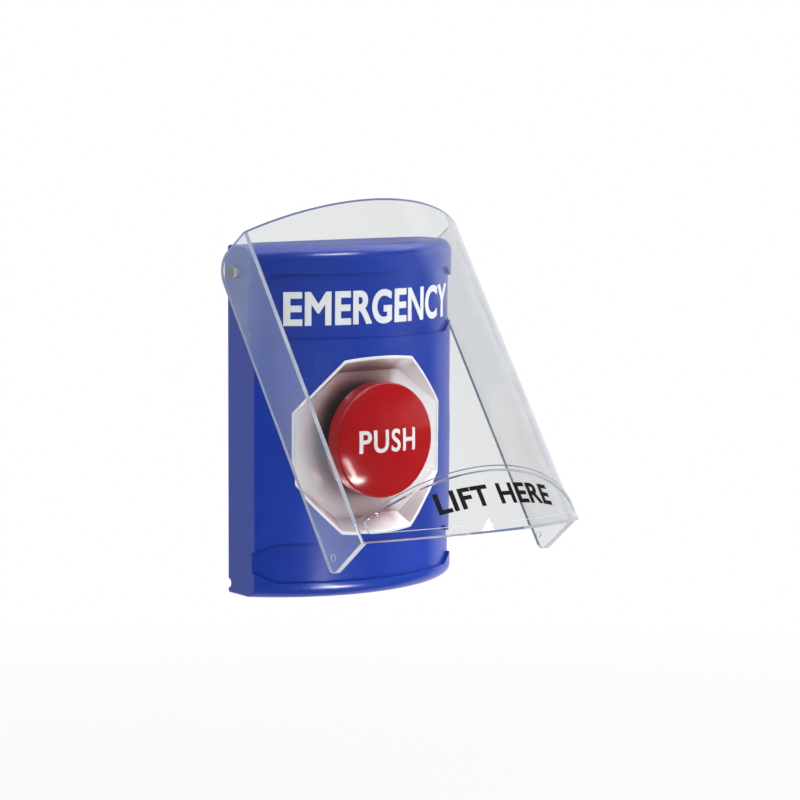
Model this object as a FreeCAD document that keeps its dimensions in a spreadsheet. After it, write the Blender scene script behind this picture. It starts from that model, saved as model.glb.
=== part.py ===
import FreeCAD, Part
import math
import os
import Sketcher
from types import SimpleNamespace
from FreeCAD import Matrix, Placement, Rotation, Vector

# Covered push button station: a wall housing with a curved front, a mushroom button in an eight sided
# metal dish, and a clear lift cover on two pins. X is to the right as seen from the front, Z is up,
# and the wall is the plane Y = 0. A depth is a distance from the wall towards the front, so Y = -depth.

doc = FreeCAD.newDocument("CoveredPushButton")
sheet = doc.addObject("Spreadsheet::Sheet", "Sizes")

# The driving sizes in millimetres and degrees.
DRIVING_SIZES = {
    # housing: a thin moulded shell, flat at the sides and an arc of a cylinder in front
    "housing_width": 86.6,
    "housing_height": 125.0,
    "side_depth": 16.9,
    "front_rise": 16.5,
    "housing_wall": 2.8,
    "rim_round": 5.0,
    "corner_round": 1.0,
    # the two shallow bands in the front, where the words stand
    "band_recess": 1.3,
    "band_side_margin": 5.9,
    "band_end_drop": 4.0,
    "upper_band_margin": 9.9,
    "upper_band_height": 23.3,
    "lower_band_margin": 5.7,
    "lower_band_height": 14.4,
    # half round notches in the rear edge of the side walls, for lifting the housing off
    "notch_radius": 1.7,
    "notch_rise": 3.6,
    # eight sided metal dish round the button, measured at its floor and from the button's centre
    "button_height": -7.0,
    "dish_sink": 8.1,
    "dish_side_margin": 12.7,
    "dish_flat_half": 13.0,
    "dish_top": 24.0,
    "dish_side_top": 10.6,
    "dish_side_bottom": 14.1,
    "dish_bottom": 27.8,
    "dish_draft": 0.6,
    "dish_sheet": 1.0,
    "well_wall": 2.0,
    "well_floor": 2.2,
    # operator: threaded bush with a collar, gasket and lock nut
    "bush_radius": 11.0,
    "bush_hole_gap": 0.25,
    "collar_reach": 4.0,
    "collar_thickness": 2.0,
    "gasket_thickness": 0.5,
    "bush_length": 8.8,
    "bush_rear_wall": 1.5,
    "spring_pocket_gap": 0.8,
    "nut_wall": 4.5,
    "nut_thickness": 3.4,
    # mushroom head and its stem
    "head_radius": 20.7,
    "head_stand_off": 4.2,
    "head_rim_height": 6.3,
    "head_dome_height": 4.6,
    "head_edge_round": 1.1,
    "head_wall": 3.5,
    "head_cavity_depth": 5.1,
    "socket_wall": 1.5,
    "socket_recess": 1.7,
    "stem_radius": 4.0,
    "stem_sink": 1.0,
    "stem_flange_radius": 7.0,
    "stem_flange_thickness": 2.0,
    "stem_running_gap": 0.06,
    "button_travel": 3.0,
    # return spring
    "spring_gap": 0.7,
    "spring_wire_radius": 0.5,
    "spring_turns": 5.0,
    # contact carrier and the two contact blocks
    "carrier_wall": 3.9,
    "carrier_gap": 0.1,
    "carrier_length": 5.3,
    "block_rear_depth": 3.0,
    "block_width": 14.4,
    "block_parting": 0.6,
    "plunger_radius": 1.6,
    "plunger_offset": 4.2,
    "plunger_length": 5.5,
    "plunger_gap": 0.1,
    "terminal_screw_radius": 2.4,
    "terminal_screw_inset": 3.5,
    # back plate and the two screws into the wall box
    "plate_thickness": 2.0,
    "plate_gap": 0.3,
    "plate_opening_half_width": 22.0,
    "plate_opening_half_height": 20.0,
    "plate_opening_round": 4.0,
    "box_screw_spacing": 83.3,
    "box_screw_hole_radius": 2.2,
    "flange_depth": 8.5,
    "flange_inset": 2.2,
    "top_flange_half_width": 25.0,
    "top_flange_depth": 6.0,
    "lug_offset": 15.0,
    "lug_width": 6.0,
    "lug_thickness": 1.6,
    "lug_height": 1.4,
    "lug_gap": 0.2,
    # housing screws, up through the bottom wall into the plate's flange
    "housing_screw_inset": 6.0,
    "housing_screw_edge": 2.0,
    "housing_screw_radius": 1.5,
    "housing_screw_head_radius": 2.7,
    "housing_screw_head_sink": 1.4,
    "housing_screw_length": 9.0,
    # circuit board on four posts, with the sounder and a lead terminal
    "board_depth": 12.8,
    "board_thickness": 1.6,
    "board_side_gap": 8.5,
    "board_edge_gap": 1.2,
    "board_height": 30.0,
    "post_radius": 3.0,
    "board_post_inset": 4.0,
    "post_screw_radius": 1.1,
    "post_screw_head_radius": 2.2,
    "post_screw_head": 1.4,
    "post_screw_length": 8.0,
    "sounder_radius": 13.0,
    "sounder_height": 8.0,
    "sounder_wall": 1.2,
    "sounder_mouth_radius": 3.0,
    "piezo_thickness": 0.4,
    "terminal_half_width": 5.0,
    "terminal_height": 8.0,
    "terminal_length": 7.0,
    # block battery in a tray
    "battery_width": 45.5,
    "battery_height": 26.5,
    "battery_rear_gap": 1.2,
    "battery_floor_gap": 0.4,
    "battery_round": 2.0,
    "stud_radius": 3.2,
    "stud_length": 2.6,
    "stud_spacing": 12.9,
    "snap_thickness": 3.4,
    "snap_gap": 0.2,
    "tray_wall": 1.2,
    "tray_gap": 0.1,
    "tray_well_gap": 0.1,
    "tray_flange_gap": 0.5,
    "tray_ear_reach": 5.2,
    "tray_post_radius": 2.5,
    "tray_ear_half_height": 5.0,
    "tray_ear_step": 2.5,
    "tray_screw_length": 3.4,
    # cover switch on two pegs of the side wall, and its lever
    "switch_thickness": 6.0,
    "switch_depth": 6.5,
    "switch_height": 12.8,
    "peg_radius": 1.0,
    "peg_spacing": 7.0,
    "lever_thickness": 0.5,
    "lever_rise": 0.5,
    # pivot pins, cam and clip
    "pivot_depth": 8.6,
    "pivot_drop": 9.1,
    "pin_radius": 1.8,
    "pin_running_gap": 0.05,
    "pin_head_radius": 2.5,
    "pin_head_thickness": 1.4,
    "pin_short": 0.3,
    "cam_radius": 3.5,
    "cam_flat": 2.2,
    "cam_thickness": 3.0,
    "cam_gap": 0.3,
    "clip_radius": 3.4,
    "clip_thickness": 0.8,
    # clear cover, measured from its pivot with the cover hanging straight down
    "cover_side_gap": 0.8,
    "cover_wall": 2.5,
    "cover_rear_gap": 0.5,
    "cover_front_gap": 5.5,
    "cover_rise_gain": 2.9,
    "cover_overhang": 0.5,
    "cover_toe_radius": 3.0,
    "toe_drop": 1.1,
    "lip_slope": 0.51,
    "lip_rim_height": 3.5,
    "bead_rise": 5.3,
    "bead_slope": 0.39,
    "bead_width": 1.7,
    "bead_height": 0.8,
    "nub_radius": 1.2,
    "nub_height": 0.5,
    "nub_inset": 3.1,
    "nub_rise": 5.4,
    "cover_open_angle": 35.3,
}

for row, (alias, value) in enumerate(DRIVING_SIZES.items(), start=1):
    sheet.set("A%d" % row, alias)
    sheet.set("B%d" % row, str(value))
    sheet.setAlias("B%d" % row, alias)
doc.recompute()


class Dim:
    """A length worked out from the sheet: its value, and its text for an expression."""

    def __init__(self, value, text):
        self.value = float(value)
        self.text = text

    def __add__(self, other):
        return Dim(self.value + dim(other).value, "(%s + %s)" % (self.text, dim(other).text))

    def __sub__(self, other):
        return Dim(self.value - dim(other).value, "(%s - %s)" % (self.text, dim(other).text))

    def __mul__(self, other):
        return Dim(self.value * dim(other).value, "(%s * %s)" % (self.text, dim(other).text))

    def __truediv__(self, other):
        return Dim(self.value / dim(other).value, "(%s / %s)" % (self.text, dim(other).text))

    def __neg__(self):
        return Dim(-self.value, "(0 - %s)" % self.text)

    def __radd__(self, other):
        return dim(other) + self

    def __rsub__(self, other):
        return dim(other) - self

    def __rmul__(self, other):
        return dim(other) * self


def dim(value):
    return value if isinstance(value, Dim) else Dim(value, repr(float(value)))


def root(value):
    return Dim(math.sqrt(value.value), "sqrt(%s)" % value.text)


D = SimpleNamespace(**{alias: Dim(sheet.get(alias), "Sizes." + alias) for alias in DRIVING_SIZES})


# Building helpers

ORIGIN = (dim(0), dim(0), dim(0))
nodes = []


def bind(obj, prop, value):
    """Set a length and keep it tied to the sheet."""
    value = dim(value)
    if prop.isalpha():
        setattr(obj, prop, value.value)
    if "Sizes" in value.text:
        obj.setExpression(prop, value.text)


def place(obj, at, rotation=Rotation()):
    obj.Placement = Placement(Vector(*[dim(part).value for part in at]), rotation)
    for axis, part in zip("xyz", at):
        bind(obj, "Placement.Base." + axis, part)
    return obj


def keep(obj, label):
    """Make an object one of the station's own pieces."""
    obj.Label = label
    nodes.append(obj)
    return obj


def new_body(name, at=ORIGIN):
    return place(doc.addObject("PartDesign::Body", name), at)


def new_sketch(body, role, offset=0):
    """A sketch on one of the body's own origin planes, moved along the plane's normal."""
    sketch = body.newObject("Sketcher::SketchObject", body.Name + "_sketch")
    plane = next(item for item in body.Origin.OriginFeatures if item.Role == role)
    sketch.AttachmentSupport = (plane, [""])
    sketch.MapMode = "FlatFace"
    sketch.AttachmentOffset = Placement(Vector(0, 0, dim(offset).value), Rotation())
    bind(sketch, "AttachmentOffset.Base.z", offset)
    return sketch


def fix_point(sketch, geometry, end, x, y):
    for kind, value, axis in (("DistanceX", x, -2), ("DistanceY", y, -1)):
        if value.value == 0 and "Sizes" not in value.text:
            sketch.addConstraint(Sketcher.Constraint("PointOnObject", geometry, end, axis))
            continue
        number = sketch.addConstraint(Sketcher.Constraint(kind, -1, 1, geometry, end, value.value))
        bind(sketch, "Constraints[%d]" % number, value)


def draw(sketch, points):
    """Draw a closed outline. A third value is the radius of the arc that ends at that point: more than
    nought bulges to the right of the way round, less than nought to the left."""
    points = [tuple(dim(part) for part in point) for point in points]
    ends = []
    for start, stop in zip(points, points[1:] + points[:1]):
        a = Vector(start[0].value, start[1].value, 0)
        b = Vector(stop[0].value, stop[1].value, 0)
        if len(stop) == 2:
            number = sketch.addGeometry(Part.LineSegment(a, b))
            ends.append((number, 1, 2))
            continue
        radius = abs(stop[2].value)
        side = 1 if stop[2].value > 0 else -1
        along = (b - a).normalize()
        right = Vector(along.y, -along.x, 0) * side
        half = (b - a).Length / 2
        back = math.sqrt(max(radius * radius - half * half, 0))
        middle = (a + b) * 0.5 + right * (radius - back)
        number = sketch.addGeometry(Part.Arc(a, middle, b))
        ends.append((number, 1, 2) if side > 0 else (number, 2, 1))
        arc_radius = stop[2] if side > 0 else -stop[2]
        fixed = sketch.addConstraint(Sketcher.Constraint("Radius", number, radius))
        bind(sketch, "Constraints[%d]" % fixed, arc_radius)
    for index, point in enumerate(points):
        here, there = ends[index], ends[index - 1]
        sketch.addConstraint(Sketcher.Constraint("Coincident", there[0], there[2], here[0], here[1]))
        fix_point(sketch, here[0], here[1], point[0], point[1])


def draw_circle(sketch, x, y, radius):
    x, y, radius = dim(x), dim(y), dim(radius)
    circle = Part.Circle(Vector(x.value, y.value, 0), Vector(0, 0, 1), radius.value)
    number = sketch.addGeometry(circle)
    fix_point(sketch, number, 3, x, y)
    fixed = sketch.addConstraint(Sketcher.Constraint("Radius", number, radius.value))
    bind(sketch, "Constraints[%d]" % fixed, radius)


def rectangle(low_x, low_y, high_x, high_y):
    return [(low_x, low_y), (high_x, low_y), (high_x, high_y), (low_x, high_y)]


def fill(sketch, outline, circles=(), inner=()):
    if outline:
        draw(sketch, outline)
    for hole in inner:
        draw(sketch, hole)
    for circle in circles:
        draw_circle(sketch, *circle)


def pad(body, role, offset, length, outline, circles=(), inner=()):
    sketch = new_sketch(body, role, offset)
    fill(sketch, outline, circles, inner)
    feature = body.newObject("PartDesign::Pad", body.Name + "_pad")
    feature.Profile = sketch
    bind(feature, "Length", length)
    doc.recompute()
    return feature


def pocket(body, role, offset, length, outline, circles=(), inner=()):
    """Cut along the plane's normal, the same way as a pad grows. A cut that takes nothing is an error."""
    before = body.Shape.Volume
    sketch = new_sketch(body, role, offset)
    fill(sketch, outline, circles, inner)
    feature = body.newObject("PartDesign::Pocket", body.Name + "_pocket")
    feature.Profile = sketch
    feature.Reversed = True
    bind(feature, "Length", length)
    doc.recompute()
    if not body.Shape.Volume < before:
        raise ValueError(body.Name + ": the cut takes nothing away")
    return feature


def turned(name, profile, at=ORIGIN, axis="V_Axis"):
    """A piece turned about Y, as points (radius, depth), or about X with axis H_Axis, as (x, radius)."""
    body = new_body(name, at)
    sketch = new_sketch(body, "XY_Plane")
    if axis == "V_Axis":
        draw(sketch, [(point[0], -dim(point[1])) + tuple(-dim(part) for part in point[2:])
                      for point in profile])
    else:
        draw(sketch, profile)
    feature = body.newObject("PartDesign::Revolution", name + "_turn")
    feature.Profile = sketch
    feature.ReferenceAxis = (sketch, [axis])
    feature.Angle = 360
    doc.recompute()
    return body


def ring_profile(inner, outer, front, rear):
    return [(inner, front), (outer, front), (outer, rear), (inner, rear)]


def rounded(body, feature, radius, wanted):
    """Round the edges of a feature that a test picks out."""
    names = ["Edge%d" % (number + 1) for number, edge in enumerate(feature.Shape.Edges)
             if not edge.Degenerated and wanted(edge)]
    fillet = body.newObject("PartDesign::Fillet", body.Name + "_round")
    fillet.Base = (feature, names)
    bind(fillet, "Radius", radius)
    doc.recompute()
    return fillet


def combine(kind, name, base, tool):
    result = doc.addObject("Part::" + kind, name)
    result.Base = base
    result.Tool = tool
    doc.recompute()
    return result


# Shared outlines

CUT_SPILL = 1.0
half_width = D.housing_width / 2
half_height = D.housing_height / 2
front_radius = D.front_rise / 2 + half_width * half_width / (D.front_rise * 2)
front_centre = D.side_depth + D.front_rise - front_radius
front_apex = D.side_depth + D.front_rise
past_front = front_apex + 5 * CUT_SPILL


def front_depth(x, inset=0):
    """How far the curved front, or a surface inset from it, stands off the wall at a place across."""
    radius = front_radius - inset
    return front_centre + root(radius * radius - x * x)


def front_outline(half, inset, rear):
    """Plan of the housing: straight sides and an arc in front."""
    side = -front_depth(half, inset)
    return [(-half, -dim(rear)), (-half, side), (half, side, front_radius - inset), (half, -dim(rear))]


def plan_block(name, half, inset, rear, low, height):
    body = new_body(name)
    pad(body, "XY_Plane", low, height, front_outline(half, inset, rear))
    return body


dish_side = D.dish_sheet * root(1 + D.dish_draft * D.dish_draft)
dish_depth = front_apex - D.dish_sink
dish_half_width = half_width - D.dish_side_margin
dish_rear = dish_depth - D.dish_sheet
well_rear = dish_rear - D.well_floor
button_centre = (dim(0), dim(0), D.button_height)


def dish_outline(grow):
    """The eight sided outline of the dish floor, with every side moved out by the same amount."""
    across = dish_half_width - D.dish_flat_half
    corners = []
    for level, side_level in ((D.dish_top, D.dish_side_top), (D.dish_bottom, D.dish_side_bottom)):
        rise = level - side_level
        slant = root(across * across + rise * rise)
        flat = D.dish_flat_half + grow * (slant - across) / rise
        corners.append(((flat, level + grow), (dish_half_width + grow,
                                               side_level + grow * (slant - rise) / across)))
    (top, upper), (bottom, lower) = corners
    right = [(bottom[0], -bottom[1]), (lower[0], -lower[1]), upper, top]
    left = [(-x, z) for x, z in reversed(right)]
    return right + left


def dish_funnel(name, grow, rear, front):
    """A block that widens with the dish's slope, from one depth to another."""
    body = new_body(name, button_centre)
    sections = []
    for depth in (rear, front):
        sketch = new_sketch(body, "XZ_Plane", depth)
        draw(sketch, dish_outline(grow + D.dish_draft * (depth - dish_depth)))
        sections.append(sketch)
    feature = body.newObject("PartDesign::AdditiveLoft", name + "_loft")
    feature.Profile = sections[0]
    feature.Sections = sections[1:]
    feature.Ruled = True
    doc.recompute()
    return body


def group(kind, name, objects):
    result = doc.addObject("Part::" + kind, name)
    setattr(result, "Links" if kind == "Compound" else "Shapes", objects)
    doc.recompute()
    return result


# Housing: one moulding, with the well for the dish, posts for the board and tray, and switch pegs

inner_half = half_width - D.housing_wall
inner_height = half_height - D.housing_wall
plate_half_width = inner_half - D.plate_gap
plate_half_height = inner_height - D.plate_gap
upper_band_high = half_height - D.upper_band_margin
lower_band_low = D.lower_band_margin - half_height
tray_inner_half = (D.battery_width + D.snap_thickness) / 2 + D.tray_gap
tray_outer_half = tray_inner_half + D.tray_wall
tray_screw_offset = tray_outer_half + D.tray_ear_reach / 2
tray_floor = well_rear - D.tray_well_gap - D.tray_wall
tray_ear_front = tray_floor + D.tray_wall - D.tray_ear_step
battery_low = D.plate_thickness + D.battery_floor_gap - plate_half_height
battery_middle = battery_low + D.battery_height / 2
board_half_width = inner_half - D.board_side_gap
board_high = inner_height - D.board_edge_gap
board_low = board_high - D.board_height
board_front = D.board_depth + D.board_thickness
board_posts = [(side * (board_half_width - D.board_post_inset), height) for side in (-1, 1)
               for height in (board_low + D.board_post_inset, board_high - D.board_post_inset)]
tray_posts = [(side * tray_screw_offset, battery_middle) for side in (-1, 1)]
flange_half_width = plate_half_width - D.flange_inset
housing_screw_spots = [(side * (flange_half_width - D.housing_screw_inset),
                        D.housing_screw_edge - D.flange_depth) for side in (-1, 1)]
pivot_height = half_height - D.pivot_drop
switch_top = pivot_height - D.cam_radius - D.cam_gap - D.lever_thickness - D.lever_rise
switch_middle = switch_top - D.switch_height / 2
pegs = [(-D.pivot_depth, switch_middle + side * D.peg_spacing / 2) for side in (-1, 1)]
lug_low_depth = D.plate_thickness + D.lug_thickness / 2

shell = plan_block("shell_outside", half_width, 0, 0, -half_height, D.housing_height)
body_pad = shell.Tip


def is_rim(edge):
    return isinstance(edge.Curve, Part.Circle)


def is_front_corner(edge):
    ends = [vertex.Point for vertex in edge.Vertexes]
    upright = abs(ends[0].x - ends[1].x) + abs(ends[0].y - ends[1].y) < 0.001
    return upright and ends[0].y < -D.side_depth.value / 2


rim = rounded(shell, body_pad, D.rim_round, is_rim)
rounded(shell, rim, D.corner_round, is_front_corner)

hollow = plan_block("shell_inside", inner_half, D.housing_wall, -CUT_SPILL,
                    -inner_height, inner_height * 2)
well = dish_funnel("well_outside", dish_side + D.well_wall, well_rear, past_front)
well_in_front = combine("Common", "well_trimmed", well, shell)
post_limit = plan_block("post_limit", half_width, D.band_recess * 1.2, 0,
                        -half_height, D.housing_height)
posts = new_body("posts")
pad(posts, "XZ_Plane", board_front, past_front - board_front, [],
    [(x, z, D.post_radius) for x, z in board_posts])
tray_post_body = new_body("tray_posts")
pad(tray_post_body, "XZ_Plane", tray_ear_front, past_front - tray_ear_front, [],
    [(x, z, D.tray_post_radius) for x, z in tray_posts])
post_pair = group("MultiFuse", "all_posts", [posts, tray_post_body])
trimmed_posts = combine("Common", "posts_trimmed", post_pair, post_limit)
peg_body = new_body("switch_pegs")
pad(peg_body, "YZ_Plane", -(half_width - D.housing_wall / 2),
    D.housing_wall / 2 + D.switch_thickness + D.lever_rise, [],
    [(y, z, D.peg_radius) for y, z in pegs])

open_shell = combine("Cut", "shell_open", shell, hollow)
moulding = group("MultiFuse", "moulding", [open_shell, well_in_front, trimmed_posts, peg_body])


def band(name, low, high):
    """A shallow band across the front, cut back by an even depth, with both ends cut off aslant."""
    end = half_width + CUT_SPILL
    flat = half_width - D.band_side_margin
    drop = D.band_end_drop
    body = new_body(name)
    pad(body, "XZ_Plane", 0, past_front,
        [(-flat, low), (flat, low), (end, low + drop), (end, high - drop),
         (flat, high), (-flat, high), (-end, high - drop), (-end, low + drop)])
    limit = plan_block(name + "_floor", end + CUT_SPILL, D.band_recess, -CUT_SPILL,
                       -half_height, D.housing_height)
    return combine("Cut", name + "_cut", body, limit)


dish_seat = dish_funnel("dish_seat", dish_side, dish_rear, past_front)
operator_hole = new_body("operator_hole", button_centre)
operator_hole_radius = D.bush_radius + D.bush_hole_gap
pad(operator_hole, "XZ_Plane", 0, past_front, [], [(0, 0, operator_hole_radius)])

side_holes = new_body("side_holes")
pad(side_holes, "YZ_Plane", -(half_width + CUT_SPILL), D.housing_width + 2 * CUT_SPILL, [],
    [(-D.pivot_depth, pivot_height, D.pin_radius + D.pin_running_gap),
     (0, D.notch_rise - half_height, D.notch_radius)])

screw_holes = new_body("bottom_screw_holes")
pad(screw_holes, "XY_Plane", -(half_height + CUT_SPILL), D.housing_wall + 2 * CUT_SPILL, [],
    [(x, y, D.housing_screw_radius + D.lug_gap) for x, y in housing_screw_spots])
pad(screw_holes, "XY_Plane", -(half_height + CUT_SPILL), D.housing_screw_head_sink + CUT_SPILL, [],
    [(x, y, D.housing_screw_head_radius) for x, y in housing_screw_spots])

post_holes = new_body("post_holes")
pad(post_holes, "XZ_Plane", board_front, D.post_screw_length - D.board_thickness, [],
    [(x, z, D.post_screw_radius) for x, z in board_posts])
tray_holes = new_body("tray_holes")
pad(tray_holes, "XZ_Plane", tray_ear_front, D.tray_screw_length - D.tray_wall, [],
    [(x, z, D.post_screw_radius) for x, z in tray_posts])

lug_half = D.lug_width / 2 + D.lug_gap
lug_slots = new_body("lug_slots")
lug_top = inner_height - D.plate_gap + D.lug_height
for side in (-1, 1):
    middle = side * D.lug_offset
    pad(lug_slots, "XZ_Plane", lug_low_depth - D.lug_gap, D.lug_thickness + 2 * D.lug_gap,
        rectangle(middle - lug_half, inner_height - CUT_SPILL, middle + lug_half,
                  lug_top + D.lug_gap))

cuts = group("MultiFuse", "housing_cuts", [
    band("upper_band", upper_band_high - D.upper_band_height, upper_band_high),
    band("lower_band", lower_band_low, lower_band_low + D.lower_band_height),
    dish_seat, operator_hole, side_holes, screw_holes, post_holes, tray_holes, lug_slots])
keep(combine("Cut", "housing", moulding, cuts), "housing")


# Metal dish: pressed from sheet, its rim flush with the curved front

dish_block = dish_funnel("dish_outside", dish_side, dish_rear, past_front)
dish_trimmed = combine("Common", "dish_trimmed", dish_block, shell)
dish_inside = dish_funnel("dish_inside", dim(0), dish_depth, past_front)
dish_cuts = group("MultiFuse", "dish_cuts", [dish_inside, operator_hole])
keep(combine("Cut", "button_dish", dish_trimmed, dish_cuts), "button_dish")


# Operator: bush, gasket and lock nut clamp the dish to the well's floor

collar_rear = dish_depth + D.gasket_thickness
collar_front = collar_rear + D.collar_thickness
collar_radius = D.bush_radius + D.collar_reach
bush_rear = dish_depth - D.bush_length
pocket_floor = bush_rear + D.bush_rear_wall
socket_radius = D.stem_radius + D.socket_wall
spring_radius = socket_radius + D.spring_gap + D.spring_wire_radius
spring_pocket_radius = spring_radius + D.spring_wire_radius + D.spring_pocket_gap
nut_radius = D.bush_radius + D.nut_wall
stem_hole = D.stem_radius + D.stem_running_gap
nut_rear = well_rear - D.nut_thickness

keep(turned("operator_bush", [
    (spring_pocket_radius, collar_front), (collar_radius, collar_front),
    (collar_radius, collar_rear), (D.bush_radius, collar_rear),
    (D.bush_radius, bush_rear), (stem_hole, bush_rear),
    (stem_hole, pocket_floor), (spring_pocket_radius, pocket_floor)], button_centre), "operator_bush")
keep(turned("collar_gasket", ring_profile(operator_hole_radius, collar_radius - D.gasket_thickness,
                                          collar_rear, dish_depth), button_centre), "collar_gasket")

lock_nut = new_body("lock_nut", button_centre)
SIXTH_TURN = math.pi / 3
hexagon = [(nut_radius * math.cos(SIXTH_TURN * corner), nut_radius * math.sin(SIXTH_TURN * corner))
           for corner in range(6)]
pad(lock_nut, "XZ_Plane", nut_rear, D.nut_thickness, hexagon, [(0, 0, D.bush_radius)])
keep(lock_nut, "lock_nut")


# Mushroom head, hollow underneath, pressed on its stem

head_rear = dish_depth + D.head_stand_off
head_front = head_rear + D.head_rim_height
cavity_radius = D.head_radius - D.head_wall
cavity_roof = head_rear + D.head_cavity_depth
socket_rear = head_rear + D.socket_recess
stem_front = cavity_roof + D.stem_sink
dome_radius = (D.head_dome_height / 2
               + D.head_radius * D.head_radius / (D.head_dome_height * 2))
head = turned("button_head", [
    (0, head_front + D.head_dome_height), (D.head_radius, head_front, -dome_radius),
    (D.head_radius, head_rear), (cavity_radius, head_rear),
    (cavity_radius, cavity_roof), (socket_radius, cavity_roof),
    (socket_radius, socket_rear), (D.stem_radius, socket_rear),
    (D.stem_radius, stem_front), (0, stem_front)], button_centre)


def is_head_edge(edge):
    return isinstance(edge.Curve, Part.Circle) and abs(edge.Curve.Radius - D.head_radius.value) < 0.001


rounded(head, head.Tip, D.head_edge_round, is_head_edge)
keep(head, "button_head")

flange_rear = bush_rear - D.stem_flange_thickness
keep(turned("button_stem", [
    (0, stem_front), (D.stem_radius, stem_front),
    (D.stem_radius, bush_rear), (D.stem_flange_radius, bush_rear),
    (D.stem_flange_radius, flange_rear), (0, flange_rear)], button_centre), "button_stem")

spring = new_body("return_spring", button_centre)
wire = new_sketch(spring, "XY_Plane")
draw_circle(wire, spring_radius, -(pocket_floor + D.spring_wire_radius), D.spring_wire_radius)
coil_height = cavity_roof - pocket_floor - 2 * D.spring_wire_radius
coil = spring.newObject("PartDesign::AdditiveHelix", "return_spring_coil")
coil.Profile = wire
coil.ReferenceAxis = (wire, ["V_Axis"])
coil.Mode = "height-turns-angle"
bind(coil, "Height", coil_height)
bind(coil, "Turns", D.spring_turns)
coil.Reversed = True
doc.recompute()
keep(spring, "return_spring")


# Contact carrier on the bush, and two contact blocks with their plungers

flange_room = D.stem_flange_radius + 2
carrier_bore = D.bush_radius + D.carrier_gap
carrier_radius = carrier_bore + D.carrier_wall
block_front = bush_rear - D.carrier_length
block_half = carrier_radius
keep(turned("contact_carrier", [
    (carrier_bore, nut_rear - D.carrier_gap), (carrier_radius, nut_rear - D.carrier_gap),
    (carrier_radius, block_front), (flange_room, block_front),
    (flange_room, bush_rear), (carrier_bore, bush_rear)],
    button_centre), "contact_carrier")

TERMINAL_HEAD = 1.5
TERMINAL_SINK = 0.3
TERMINAL_LENGTH = 3.0
terminal_seat = D.block_rear_depth + TERMINAL_SINK + TERMINAL_HEAD
terminal_shank = D.terminal_screw_radius / 2
plunger_rear = flange_rear - D.plunger_length
terminal_screws = []


def screw_profile(seat, shank, length, head_radius, head_height):
    """A screw that is driven towards the front, with the underside of its head at the seat's depth."""
    return [(0, seat + length), (shank, seat + length), (shank, seat), (head_radius, seat),
            (head_radius, seat - head_height), (0, seat - head_height)]


for side, word in ((-1, "left"), (1, "right")):
    inner_edge = side * D.block_parting / 2
    outer_edge = side * (D.block_parting / 2 + D.block_width)
    plunger_x = side * D.plunger_offset
    terminals = [(side * (D.block_parting + D.block_width) / 2,
                  end * (block_half - D.terminal_screw_inset)) for end in (-1, 1)]
    block = new_body("contact_block_" + word, button_centre)
    pad(block, "XZ_Plane", D.block_rear_depth, block_front - D.block_rear_depth,
        rectangle(inner_edge, -block_half, outer_edge, block_half))
    hole_rear = plunger_rear - D.button_travel - D.plunger_gap
    pocket(block, "XZ_Plane", hole_rear, block_front - hole_rear + CUT_SPILL, [],
           [(plunger_x, 0, D.plunger_radius + D.plunger_gap)])
    pocket(block, "XZ_Plane", D.block_rear_depth - CUT_SPILL,
           TERMINAL_SINK + TERMINAL_HEAD + CUT_SPILL, [],
           [(x, z, D.terminal_screw_radius + D.plunger_gap) for x, z in terminals])
    pocket(block, "XZ_Plane", terminal_seat, TERMINAL_LENGTH, [],
           [(x, z, terminal_shank) for x, z in terminals])
    keep(block, "contact_block_" + word)
    plunger = new_body("contact_plunger_" + word, button_centre)
    pad(plunger, "XZ_Plane", plunger_rear, D.plunger_length, [], [(plunger_x, 0, D.plunger_radius)])
    keep(plunger, "contact_plunger_" + word)
    for x, z in terminals:
        terminal_screws.append(turned(
            "terminal_screw", screw_profile(terminal_seat, terminal_shank, TERMINAL_LENGTH,
                                            D.terminal_screw_radius, TERMINAL_HEAD),
            (x, 0, D.button_height + z)))
keep(group("Compound", "terminal_screws", terminal_screws), "terminal_screws")


# Back plate: screwed to the wall box, with flanges that the housing hooks and screws on

def rounded_rectangle(low_x, low_y, high_x, high_y, radius):
    return [(low_x + radius, low_y, radius), (high_x - radius, low_y), (high_x, low_y + radius, radius),
            (high_x, high_y - radius), (high_x - radius, high_y, radius),
            (low_x + radius, high_y), (low_x, high_y - radius, radius), (low_x, low_y + radius)]


back_plate = new_body("back_plate")
opening = rounded_rectangle(-D.plate_opening_half_width, D.button_height - D.plate_opening_half_height,
                            D.plate_opening_half_width, D.button_height + D.plate_opening_half_height,
                            D.plate_opening_round)
pad(back_plate, "XZ_Plane", 0, D.plate_thickness,
    rectangle(-plate_half_width, -plate_half_height, plate_half_width, plate_half_height),
    [(0, end * D.box_screw_spacing / 2, D.box_screw_hole_radius) for end in (-1, 1)], [opening])
pad(back_plate, "XZ_Plane", D.plate_thickness / 2, D.flange_depth - D.plate_thickness / 2,
    rectangle(-flange_half_width, -plate_half_height,
              flange_half_width, -plate_half_height + D.plate_thickness))
pad(back_plate, "XZ_Plane", D.plate_thickness / 2, D.top_flange_depth - D.plate_thickness / 2,
    rectangle(-D.top_flange_half_width, plate_half_height - D.plate_thickness,
              D.top_flange_half_width, plate_half_height))
for side in (-1, 1):
    middle = side * D.lug_offset
    pad(back_plate, "XZ_Plane", lug_low_depth, D.lug_thickness,
        rectangle(middle - D.lug_width / 2, plate_half_height - D.plate_thickness / 2,
                  middle + D.lug_width / 2, plate_half_height + D.lug_height))
pocket(back_plate, "XY_Plane", -half_height, D.housing_wall + D.plate_thickness + 2 * CUT_SPILL, [],
       [(x, y, D.housing_screw_radius) for x, y in housing_screw_spots])
keep(back_plate, "back_plate")

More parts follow.
